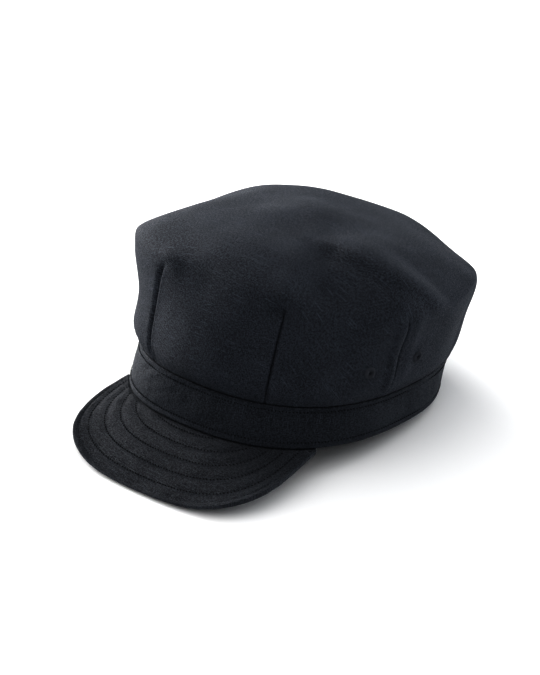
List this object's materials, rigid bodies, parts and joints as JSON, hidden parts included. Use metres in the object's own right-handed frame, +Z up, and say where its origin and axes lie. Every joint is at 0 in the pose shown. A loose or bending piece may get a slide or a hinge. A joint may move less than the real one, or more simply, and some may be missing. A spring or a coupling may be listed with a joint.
{
  "type": "railroad engineer cap",
  "caption": "Soft cloth work cap with a full darted crown, an upright band, a short stitched brim and small sewn eyelets, resting on a table.",
  "frame": {"origin": "on the surface the cap rests on, under the middle of its overall box", "axes": "+Z up, -Y the way the wearer looks and the brim points, +X the wearer's left"},
  "size_m": [0.2086, 0.2688, 0.1283],
  "materials": {
    "crown_cloth": "matte fine twill, near-black navy",
    "band_cloth": "matte fine twill, doubled and topstitched",
    "brim_cloth": "matte fine twill with rows of stitching",
    "eyelet_thread": "closely sewn thread"
  },
  "bodies": {
    "root": {"crown": "crown_cloth", "band": "band_cloth", "brim": "brim_cloth", "eyelet_left_front": "eyelet_thread", "eyelet_left_back": "eyelet_thread", "eyelet_right_front": "eyelet_thread", "eyelet_right_back": "eyelet_thread"}
  },
  "joints": []
}
